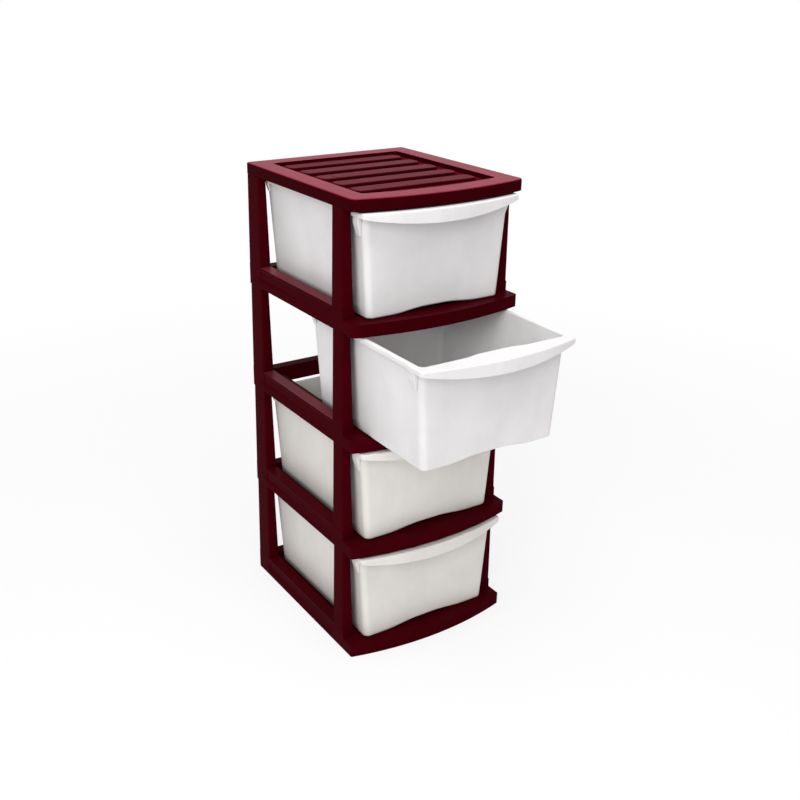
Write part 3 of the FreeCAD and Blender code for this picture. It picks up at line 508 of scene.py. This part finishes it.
def bowed_loop(half, front, rear, bow, front_radius, rear_radius, inset=0.0, steps=(48, 6, 10)):
    """Outline with a bowed front and round corners, against the clock from the front's left end."""
    along, turn, side = steps
    centre, radius = bow_circle(half, front, bow)
    radius -= inset
    half, rear = half - inset, rear - inset
    r1, r2 = max(front_radius - inset, 0.0003), max(rear_radius - inset, 0.0003)
    cx = half - r1
    cy = centre - math.sqrt((radius - r1) ** 2 - cx * cx)
    start = math.atan2(cy - centre, cx)
    reach = radius * math.cos(start)
    points = []
    for i in range(along + 1):
        x = -reach + 2 * reach * i / along
        points.append((x, centre - math.sqrt(radius * radius - x * x)))
    right = [(cx + r1 * math.cos(start * (1 - i / turn)), cy + r1 * math.sin(start * (1 - i / turn)))
             for i in range(1, turn + 1)]
    right += [(half, cy + (rear - r2 - cy) * i / side) for i in range(1, side)]
    turns = [i * math.pi / 2 / turn for i in range(turn + 1)]
    right += [(half - r2 + r2 * math.cos(a), rear - r2 + r2 * math.sin(a)) for a in turns]
    points += right
    points += [((half - r2) * (1 - 2 * i / along), rear) for i in range(1, along)]
    points += [(-x, y) for x, y in reversed(right)]
    return points


def level_ring(outline, height):
    """The points of an outline, all at one height."""
    return [(x, y, height) for x, y in outline]


def terrace(xs, ys, zs, solid, place):
    """A closed block-work mesh. solid(x, y) gives the low and high of the column there, or None,
    and place(i, j, k) the point of a grid corner."""
    bm = bmesh.new()
    corners = {}

    def corner(i, j, k):
        if (i, j, k) not in corners:
            corners[i, j, k] = bm.verts.new(place(i, j, k))
        return corners[i, j, k]

    columns = {}
    for i in range(len(xs) - 1):
        for j in range(len(ys) - 1):
            span = solid((xs[i] + xs[i + 1]) / 2, (ys[j] + ys[j + 1]) / 2)
            filled = set()
            if span:
                filled = {k for k in range(len(zs) - 1) if span[0] < (zs[k] + zs[k + 1]) / 2 < span[1]}
            columns[i, j] = filled
    for (i, j), filled in columns.items():
        for k in filled:
            if k + 1 not in filled:
                bm.faces.new((corner(i, j, k + 1), corner(i + 1, j, k + 1),
                              corner(i + 1, j + 1, k + 1), corner(i, j + 1, k + 1)))
            if k - 1 not in filled:
                bm.faces.new((corner(i, j, k), corner(i, j + 1, k),
                              corner(i + 1, j + 1, k), corner(i + 1, j, k)))
            for (di, dj), (a, b) in (((-1, 0), ((i, j + 1), (i, j))), ((1, 0), ((i + 1, j), (i + 1, j + 1))),
                                     ((0, -1), ((i, j), (i + 1, j))), ((0, 1), ((i + 1, j + 1), (i, j + 1)))):
                if k not in columns.get((i + di, j + dj), set()):
                    bm.faces.new((corner(*a, k), corner(*b, k), corner(*b, k + 1), corner(*a, k + 1)))
    return bm


def round_edges(bm, radius, steps, wanted):
    """Rounds those of the wanted edges that are sharp."""
    sharp = math.radians(28)
    edges = [edge for edge in bm.edges
             if len(edge.link_faces) == 2 and edge.calc_face_angle(0.0) > sharp and wanted(edge)]
    bmesh.ops.bevel(bm, geom=edges, offset=radius, segments=steps, profile=0.5, affect="EDGES",
                    clamp_overlap=True)


# The frames


def frame_mesh(s):
    """An open frame: bowed front bar, rails with runners and a sunk band, rear bar, corner blocks,
    hollow from below."""
    half, rear, wall = s.half_width, s.rear, s.wall
    rail, runner = half - s.rail_width, half - s.rail_width - s.runner_width
    bar_front = rear - s.rear_bar_depth
    band, across, least_gap = 0.0012, 18, 0.003
    inner = [runner, runner + wall, rail, rail + wall, half - wall - s.band_depth, half]
    ribs = [k * s.rib_pitch + side * s.rib_thickness / 2 for k in range(-2, 3) for side in (-1, 1)]
    fine = [i * half / across for i in range(1 - across, across)]
    marks = sorted(inner + [-x for x in inner] + ribs)
    xs = sorted(marks + [x for x in fine if min(abs(x - m) for m in marks) > least_gap])
    ys = [s.lip, s.lip + wall, s.post_front, s.post_back - wall, s.post_back, s.post_back + band,
          s.rear_post_front - band, s.rear_post_front, bar_front, bar_front + wall, rear - wall, rear]
    low, high = s.bead_height, s.rail_height - s.band_margin
    zs = sorted({0.0, low, low + band, s.bar_height - wall, s.bar_height, s.rear_bar_height - wall,
                 s.rear_bar_height, high - band, high, s.rail_height - wall, s.rail_height})

    def solid(x, y):
        side = abs(x)
        in_rail = side > rail
        if y < s.post_back and not (in_rail and y > s.post_front):
            top = s.bar_height
            shell = side > half - wall - s.band_depth or y < s.lip + wall or y > s.post_back - wall
            shell = shell or any(abs(x - k * s.rib_pitch) < s.rib_thickness / 2 for k in range(-2, 3))
            return (0.0 if shell else top - wall, top)
        if in_rail:
            top = s.rail_height
            block = y < s.post_back or y > s.rear_post_front
            shell = block or side < rail + wall or side > half - wall - s.band_depth
            return (0.0 if shell else top - wall, top)
        if y > bar_front:
            top = s.rear_bar_height
            shell = y < bar_front + wall or y > rear - wall
            return (0.0 if shell else top - wall, top)
        if side > runner:
            shell = side < runner + wall
            return (0.0 if shell else s.bar_height - wall, s.bar_height)
        return None

    centre, radius = bow_circle(half, s.lip, s.bow)
    slope = band / 2

    def place(i, j, k):
        x, y, z = xs[i], ys[j], zs[k]
        if j < 2:
            y = centre - math.sqrt((radius - (y - s.lip)) ** 2 - x * x)
        sunk = low + slope < z < high - slope and s.post_back + slope < y < s.rear_post_front - slope
        if i in (0, len(xs) - 1) and sunk:
            x -= math.copysign(s.band_depth, x)
        return x, y, z

    bm = terrace(xs, ys, zs, solid, place)
    bmesh.ops.dissolve_limit(bm, angle_limit=math.radians(0.3), verts=bm.verts, edges=bm.edges)
    tops = (s.bar_height, s.rail_height, s.rear_bar_height)
    near, at_lip, at_rear, at_side, foot_side = 1e-5, s.lip + 1e-3, rear - 1e-4, half - 1e-4, half - 0.009

    def upright_corner(edge):
        a, b = (vertex.co for vertex in edge.verts)
        return abs(a.z - b.z) > near and abs(a.x) > at_side

    def shown(edge):
        a, b = (vertex.co for vertex in edge.verts)
        flat_top = any(abs(v.z - top) < near for v in (a, b) for top in tops)
        foot = abs(a.z) < near and abs(b.z) < near
        return flat_top or foot and (max(abs(a.x), abs(b.x)) > foot_side or max(a.y, b.y) < at_lip)

    round_edges(bm, s.lip_radius, 6, lambda edge: upright_corner(edge) and edge.verts[0].co.y < at_lip)
    round_edges(bm, s.rear_radius, 5, lambda edge: upright_corner(edge) and edge.verts[0].co.y > at_rear)
    round_edges(bm, s.edge_radius, 3, shown)
    return bm


class TOWER_OT_frames(bpy.types.Operator):
    """Make the three shelf frames and the base frame"""

    bl_idname = "tower.frames"
    bl_label = "Shelf and base frames"

    def execute(self, context):
        sizes = context.scene.tower_frame
        material = bpy.data.materials["burgundy_plastic"]
        for name in FRAMES:
            bm = frame_mesh(sizes)
            bmesh.ops.translate(bm, verts=bm.verts, vec=(0, 0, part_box(name)[0][2]))
            new_object(name + "_moulding", bm, material, "tower", [name])
        return {"FINISHED"}


# The posts


def upright_block(bm, sections, radius, steps=4):
    """Lofts rounded rectangles given as (left, right, front, rear, height)."""
    rings = []
    for left, right, front, rear, height in sections:
        r = min(radius, (right - left) / 2.2, (rear - front) / 2.2)
        ring = []
        for cx, cy, start in ((right - r, front + r, -90), (right - r, rear - r, 0),
                              (left + r, rear - r, 90), (left + r, front + r, 180)):
            for i in range(steps + 1):
                angle = math.radians(start + 90 * i / steps)
                ring.append((cx + r * math.cos(angle), cy + r * math.sin(angle), height))
        rings.append(ring)
    capped_rings(bm, rings)


def post_sections(s, low, high, side):
    """Rectangles up a post, between the corners of its box: a drafted shaft, and the plug on its head."""
    shaft, draft = LEVEL_PITCH - s.rail_height, s.post_draft
    left, right = (draft, s.post_inner_draft) if side == "left" else (s.post_inner_draft, draft)

    def section(up, inset, height):
        return (low[0] + left * up + inset, high[0] - right * up - inset,
                low[1] + draft * up + inset, high[1] - draft * up - inset, low[2] + height)

    edge, step = 0.0006, s.plug_shoulder
    return [section(0, edge, 0), section(edge / shaft, 0, edge),
            section(1, 0, shaft - edge), section(1, edge, shaft),
            section(1, step, shaft), section(1, step, high[2] - low[2])]


class TOWER_OT_posts(bpy.types.Operator):
    """Make the sixteen drafted posts with the plugs on their heads"""

    bl_idname = "tower.posts"
    bl_label = "Posts"

    def execute(self, context):
        sizes = context.scene.tower_frame
        material = bpy.data.materials["burgundy_plastic"]
        for level, end, side in POSTS:
            name = "post_%d_%s_%s" % (level, end, side)
            low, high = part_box(name)
            bm = bmesh.new()
            upright_block(bm, post_sections(sizes, low, high, side), sizes.post_radius)
            new_object(name + "_shell", bm, material, "tower", [name])
        return {"FINISHED"}


# The top cover


def field_box(s, c):
    """Half width, front corners and rear of the cover's sunk field."""
    return s.half_width - c.border, s.lip - s.bow + c.front_border + c.field_bow, s.rear - c.border


def add_cover_body(bm, s, c):
    """The flat border, the sunk field and the hollow underside, as rings from the underside outwards."""
    low, top = COVER_LOW[2], COVER_HIGH[2]
    floor = top - c.field_depth
    field_half, field_front, field_rear = field_box(s, c)
    foot_edge, nick, field_edge = 0.0008, 0.0005, 0.0009

    def outer(inset, height):
        return level_ring(bowed_loop(s.half_width, s.lip, s.rear, s.bow, s.lip_radius, s.rear_radius, inset),
                          height)

    def field(inset, height):
        return level_ring(bowed_loop(field_half, field_front, field_rear, c.field_bow, c.field_radius,
                                     c.field_radius, inset), height)

    rings = [outer(s.wall, floor - c.plate), outer(s.wall, low + nick), outer(s.wall - nick, low),
             outer(foot_edge, low), outer(0, low + foot_edge)]
    rings += [outer(inset, top - drop) for inset, drop in quarter_down(c.edge_radius, 5)]
    rings += [field(-field_edge, top), field(-field_edge * 0.3, top - field_edge * 0.3),
              field(0, top - field_edge), field(0, floor + foot_edge), field(foot_edge, floor)]
    capped_rings(bm, rings)


def add_slats(bm, s, c):
    """Raised slats with bulging ends, evenly spaced in the sunk field."""
    floor = COVER_HIGH[2] - c.field_depth
    field_half, field_front, field_rear = field_box(s, c)
    grooves = c.slat_rear_gap + c.slat_front_gap + (c.slat_count - 1) * c.slat_gap
    depth = (field_rear - field_front - grooves) / c.slat_count
    slat_half = field_half - c.slat_side_gap
    reach, bulge, points, root = depth / 2, c.slat_bulge, 8, 0.0008
    radius = (reach * reach + bulge * bulge) / (2 * bulge)
    sections = [(0.0, -root), (0.0, c.slat_rise - c.slat_edge)]
    sections += [(run, c.slat_rise - rise) for run, rise in quarter_down(c.slat_edge, 4)]
    for row in range(c.slat_count):
        middle = field_rear - c.slat_rear_gap - row * (depth + c.slat_gap) - reach
        rings = []
        for inset, rise in sections:
            ring = []
            for side in (1, -1):
                for i in range(-points, points + 1):
                    y = (reach - inset) * i / points * side
                    x = side * (slat_half - inset - radius + bulge + math.sqrt(radius * radius - y * y))
                    ring.append((x, middle + y, floor + rise))
            rings.append(ring)
        capped_rings(bm, rings)


class TOWER_OT_cover(bpy.types.Operator):
    """Make the top cover with its sunk field and slats"""

    bl_idname = "tower.cover"
    bl_label = "Top cover"

    def execute(self, context):
        frame_sizes, cover_sizes = context.scene.tower_frame, context.scene.tower_cover
        bm = bmesh.new()
        add_cover_body(bm, frame_sizes, cover_sizes)
        add_slats(bm, frame_sizes, cover_sizes)
        new_object("top_cover_moulding", bm, bpy.data.materials["sheen_painted_burgundy_plastic"], "tower",
                   ["top_cover"])
        return {"FINISHED"}


# The drawers


class DrawerShape:
    """Points of a drawer, by stations that run round it against the clock from the front's left end."""

    ALONG, TURN, WING, SIDE = 72, 8, 6, 16

    def __init__(self, sizes):
        self.s = sizes
        self.rim_half = sizes.wing_half - sizes.wing
        self.top_half = self.rim_half - sizes.overhang
        self.top_front = sizes.foot_front - sizes.front_lean
        self.top_rear = sizes.foot_rear + sizes.rear_lean
        self.foot_half = self.top_half - sizes.side_lean

    def stations(self):
        """Kind of stretch, side, end, and the way along the stretch, for each point of a ring."""
        right = [("turn", 1, -1, i / self.TURN) for i in range(1, self.TURN + 1)]
        right += [("wing", 1, 0, i / self.WING) for i in range(1, self.WING + 1)]
        right += [("side", 1, 0, i / self.SIDE) for i in range(self.SIDE)]
        right += [("turn", 1, 1, i / self.TURN) for i in range(self.TURN + 1)]
        left = [(kind, -1, end, t) for kind, side, end, t in reversed(right)]
        front = [("front", 0, -1, i / self.ALONG) for i in range(self.ALONG + 1)]
        rear = [("rear", 0, 1, i / self.ALONG) for i in range(1, self.ALONG)]
        return front + right + rear + left

    def tub(self, station, height, inset):
        """A point of the body's wall at some height, that far inside its outer face. The points below a
        wing of the pull end a little ahead of the wing, so that the rim doesn't fold where it steps in."""
        kind, side, end, t = station
        s = self.s
        share_up = height / s.height
        half = self.foot_half + s.side_lean * share_up - inset
        front = s.foot_front - s.front_lean * share_up + inset
        rear = s.foot_rear + s.rear_lean * share_up - inset
        r = max(s.corner_radius - inset, 0.0008)
        if kind == "front":
            return (-1 + 2 * t) * (half - r), front
        if kind == "rear":
            return (1 - 2 * t) * (half - r), rear
        if kind == "wing":
            return side * half, front + r + (s.wing_rear - 2 * s.wing - front - r) * t
        if kind == "side":
            return side * half, s.wing_rear + (rear - r - s.wing_rear) * (t + 0.5 / self.SIDE)
        angle = math.radians(-90 + 90 * t) if end < 0 else math.radians(90 * t)
        cy = front + r if end < 0 else rear - r
        return side * (half - r + r * math.cos(angle)), cy + r * math.sin(angle)

    def rim(self, station, inset):
        """A point of the rim's outline, that far inside it."""
        kind, side, end, t = station
        s = self.s
        centre, radius = bow_circle(s.wing_half, self.top_front - s.pull_reach, s.pull_bow)
        radius -= inset
        wing, half = s.wing_half - inset, self.rim_half - inset
        rear = self.top_rear + s.overhang - inset
        r = max(s.rim_corner - inset, 0.0006)
        cx = wing - r
        cy = centre - math.sqrt((radius - r) ** 2 - cx * cx)
        start = math.atan2(cy - centre, cx)
        if kind == "front":
            x = (-1 + 2 * t) * radius * math.cos(start)
            return x, centre - math.sqrt(radius * radius - x * x)
        if kind == "rear":
            return (1 - 2 * t) * (half - r), rear
        if kind == "wing":
            return side * wing, cy + (s.wing_rear - inset - cy) * t
        if kind == "side":
            return side * half, s.wing_rear - inset + (rear - r - s.wing_rear + inset) * t
        if end < 0:
            return side * (cx + r * math.cos(start * (1 - t))), cy + r * math.sin(start * (1 - t))
        angle = math.radians(90 * t)
        return side * (half - r + r * math.cos(angle)), rear - r + r * math.sin(angle)

    def apron(self, x, station):
        """Height of the turned-down edge: a crescent at the front, plain elsewhere."""
        s = self.s
        if station[0] != "front":
            return s.skirt
        return s.skirt + (s.pull_height - s.skirt) * max(1 - (x / s.wing_half) ** 2, 0.0)

    def arch(self, x):
        """Height of the floor's underside, raised between its two feet."""
        s = self.s
        foot, top = self.foot_half * s.arch_foot, self.foot_half * s.arch_top
        t = min(max((foot - abs(x)) / (foot - top), 0.0), 1.0)
        return s.arch_rise * (0.5 - 0.5 * math.cos(math.pi * t))

    def thumb(self, x, station):
        """How far the rim's inner edge reaches back over the inside for the thumb."""
        if station[0] != "front":
            return 0.0
        t = min(max(1 - abs(x) / self.s.thumb_half, 0.0), 1.0)
        return self.s.thumb_reach * math.sin(math.pi / 2 * min(t * 1.7, 1.0)) ** 2

    def rings(self):
        """Rings over the whole skin, from the floor's underside out, up, over the rim and down inside."""
        s = self.s
        stations = self.stations()
        rings = []

        def walls(height_at, inset, forward=lambda x, station: 0.0):
            ring = []
            for station in stations:
                x, y = self.tub(station, s.foot_radius, inset)
                height = height_at(x, station)
                x, y = self.tub(station, height, inset)
                ring.append((x, y + forward(x, station), height))
            rings.append(ring)

        def skirt(height_at, inset):
            ring = []
            for station in stations:
                x, y = self.rim(station, inset)
                ring.append((x, y, height_at(x, station)))
            rings.append(ring)

        for run, rise in quarter_up(s.foot_radius, 6):
            walls(lambda x, station, rise=rise: self.arch(x) + rise, run)
        under, low = s.height - s.flat, s.foot_radius + s.arch_rise
        steps = [low + (under - low) * t for t in (0.15, 0.35, 0.6, 0.85)]
        for step in steps:
            walls(lambda x, station, step=step: step, 0)
        fillet, nick, thin = 0.0008, 0.0006, s.skirt_wall
        walls(lambda x, station: under - fillet, 0)
        walls(lambda x, station: under, -fillet)
        skirt(lambda x, station: under, thin + nick)
        skirt(lambda x, station: under - nick, thin)
        for rise, inset in ((nick, 1.0), (nick / 4, 0.8), (0.0, 0.5), (nick / 4, 0.2), (nick, 0.0)):
            skirt(lambda x, station, rise=rise: s.height - self.apron(x, station) + rise, thin * inset)
        for inset, drop in quarter_down(s.rim_radius, 5):
            skirt(lambda x, station, drop=drop: s.height - drop, inset)
        lip = 0.0011
        walls(lambda x, station: s.height, s.wall - lip, self.thumb)
        walls(lambda x, station: s.height - lip * 0.3, s.wall - lip * 0.3, self.thumb)
        walls(lambda x, station: s.height - lip, s.wall, self.thumb)
        walls(lambda x, station: under, s.wall, self.thumb)
        walls(lambda x, station: under - nick, s.wall, lambda x, station: 0.3 * self.thumb(x, station))
        walls(lambda x, station: under - 2 * nick, s.wall)
        for step in reversed(steps):
            walls(lambda x, station, step=step: step, s.wall)
        for run, rise in quarter_down(s.foot_radius - s.wall, 5):
            walls(lambda x, station, rise=rise: self.arch(x) + s.wall + rise, s.wall + run)
        return rings

    def close_floor(self, bm, ring, upward):
        """Fills a floor ring with strips that run front to back."""
        along, turn = self.ALONG, self.TURN
        rear = along + 1 + turn + self.WING + self.SIDE + turn
        left = rear + along
        count = len(ring)
        strips = [(i, i + 1, left - i - 1, left - i) for i in range(along)]
        for i in range(turn):
            strips.append((along + i, along + i + 1, rear - i - 1, rear - i))
            strips.append((count - i - 1, -i % count, left + i, left + i + 1))
        for strip in strips:
            corners = [ring[i] for i in strip]
            bm.faces.new(corners if upward else list(reversed(corners)))

    def block(self, bm, side, front, rear, height, reach):
        """A stop or guide tab under the rim at one corner."""
        s = self.s
        sections = []
        tapers = ((height, 0.8), (height - 0.0006, 0.7), (0.55 * height, 0.12), (0.45 * height, 0.0),
                  (s.flat / 2, 0.0))
        for drop, taper in tapers:
            wall = self.top_half - s.side_lean * drop / s.height
            inner = side * (wall - s.wall / 2)
            outer = side * (self.top_half + reach - (self.top_half + reach - wall) * taper)
            forward = front + (rear - front) * 0.3 * taper
            sections.append((min(inner, outer), max(inner, outer), forward, rear, s.height - drop))
        upright_block(bm, sections, s.stop_radius)


def drawer_mesh(sizes):
    """A tub with its rim, pull, stops and guide tabs."""
    shape = DrawerShape(sizes)
    bm = bmesh.new()
    rows = ring_strip(bm, shape.rings())
    shape.close_floor(bm, rows[0], upward=False)
    shape.close_floor(bm, rows[-1], upward=True)
    stop_rear, tab_rear = sizes.wing_rear, shape.top_rear - sizes.tab_inset
    for side in (-1, 1):
        shape.block(bm, side, stop_rear - sizes.stop_length, stop_rear, sizes.stop_height, sizes.stop_reach)
        shape.block(bm, side, tab_rear - sizes.tab_length, tab_rear, sizes.tab_height, sizes.tab_reach)
    return bm


class TOWER_OT_drawers(bpy.types.Operator):
    """Make the four drawers, each where its CAD node stands"""

    bl_idname = "tower.drawers"
    bl_label = "Drawers"

    def execute(self, context):
        sizes = context.scene.tower_drawer
        for name in DRAWERS:
            material = bpy.data.materials["milky_plastic" if name in DRAWERS[:2] else "lower_milky_plastic"]
            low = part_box(name)[0]
            bm = drawer_mesh(sizes)
            bmesh.ops.translate(bm, verts=bm.verts, vec=(0, low[1] - TUB_LOW[1], low[2]))
            new_object(name + "_tub", bm, material, name, [name], smooth_angle=50)
        return {"FINISHED"}


# Stage


def soft_lamp(name, hung, aim, size, power):
    """A square lamp that faces a height on the tower's middle line."""
    lamp = bpy.data.lights.new(name, "AREA")
    lamp.shape = "SQUARE"
    lamp.size = size
    lamp.energy = power
    holder = bpy.data.objects.new(name, lamp)
    bpy.context.scene.collection.objects.link(holder)
    way = Vector((0, 0, aim)) - Vector(hung)
    holder.matrix_world = Matrix.Translation(hung) @ way.to_track_quat("-Z", "Y").to_matrix().to_4x4()


def pale_floor(studio):
    """A floor that takes the tower's shadow and fades into the background."""
    floor = Finish("pale_floor")
    far = floor.node("ShaderNodeVectorMath", {"operation": "LENGTH"}, {0: floor.place()}, output=1)
    fade = floor.ramp(far, studio.veil_near, studio.veil_far, studio.veil_least, 1.0)
    veil = floor.background_rays() * fade
    matt = floor.node("ShaderNodeBsdfDiffuse", inputs={"Color": [studio.floor_tone] * 3})
    white = floor.node("ShaderNodeEmission", inputs={"Color": (1.0, 1.0, 1.0), "Strength": 1.0})
    floor.finish(floor.node("ShaderNodeMixShader", inputs={0: veil, 1: matt, 2: white}))
    bm = bmesh.new()
    bmesh.ops.create_grid(bm, x_segments=1, y_segments=1, size=studio.floor_reach)
    mesh = bpy.data.meshes.new("floor")
    bm.to_mesh(mesh)
    bm.free()
    mesh.materials.append(floor.material)
    ground = bpy.data.objects.new("floor", mesh)
    bpy.context.scene.collection.objects.link(ground)


def even_light(studio):
    """A world that lights the tower from all round and looks white."""
    world = bpy.data.worlds.new("studio")
    room = Nodes(world)
    strength = room.background_rays() * (1 - studio.sky) + studio.sky
    backdrop = room.node("ShaderNodeBackground", inputs={"Color": (1.0, 1.0, 1.0), "Strength": strength})
    room.node("ShaderNodeOutputWorld", inputs={"Surface": backdrop})
    return world


def aimed_camera(studio):
    """The camera at its place, turned by its azimuth, elevation and roll."""
    camera = bpy.data.cameras.new("camera")
    camera.lens = studio.lens
    camera.shift_x, camera.shift_y = studio.camera_shift
    holder = bpy.data.objects.new("camera", camera)
    bpy.context.scene.collection.objects.link(holder)
    holder.matrix_world = Matrix.Translation(studio.camera_place)
    for turn, axis in ((studio.azimuth, "Z"), (math.pi / 2 - studio.elevation, "X"), (studio.roll, "Z")):
        holder.matrix_world = holder.matrix_world @ Matrix.Rotation(turn, 4, axis)
    return holder


class TOWER_OT_stage(bpy.types.Operator):
    """Make the floor, the light and the camera"""

    bl_idname = "tower.stage"
    bl_label = "Stage"

    def execute(self, context):
        scene = context.scene
        studio = scene.tower_studio
        scene.view_settings.view_transform = "Standard"
        pale_floor(studio)
        scene.world = even_light(studio)
        soft_lamp("key_lamp", studio.key_place, studio.key_aim, studio.key_size, studio.key)
        soft_lamp("top_lamp", studio.top_place, studio.top_aim, studio.top_size, studio.top)
        scene.camera = aimed_camera(studio)
        return {"FINISHED"}


class TOWER_PT_panel(bpy.types.Panel):
    """Lists the pieces of the tower"""

    bl_idname = "TOWER_PT_panel"
    bl_label = "Drawer tower"
    bl_space_type = "VIEW_3D"
    bl_region_type = "UI"
    bl_category = "Tower"

    def draw(self, context):
        for maker in MAKERS:
            self.layout.operator(maker.bl_idname)


GROUPS = {
    "tower_frame": TowerFrameSizes,
    "tower_cover": TowerCoverSizes,
    "tower_drawer": TowerDrawerSizes,
    "tower_finish": TowerFinish,
    "tower_studio": TowerStudio,
}
MAKERS = (TOWER_OT_finishes, TOWER_OT_stage, TOWER_OT_frames, TOWER_OT_posts, TOWER_OT_cover,
          TOWER_OT_drawers)


def register():
    for group in GROUPS.values():
        bpy.utils.register_class(group)
    for maker in MAKERS:
        bpy.utils.register_class(maker)
    bpy.utils.register_class(TOWER_PT_panel)
    for name, group in GROUPS.items():
        setattr(bpy.types.Scene, name, PointerProperty(type=group))


def unregister():
    for name in GROUPS:
        delattr(bpy.types.Scene, name)
    bpy.utils.unregister_class(TOWER_PT_panel)
    for maker in reversed(MAKERS):
        bpy.utils.unregister_class(maker)
    for group in reversed(list(GROUPS.values())):
        bpy.utils.unregister_class(group)


def main():
    register()
    bpy.ops.tower.finishes()
    bpy.ops.tower.stage()
    bpy.ops.tower.frames()
    bpy.ops.tower.posts()
    bpy.ops.tower.cover()
    bpy.ops.tower.drawers()


if __name__ == "__main__":
    main()
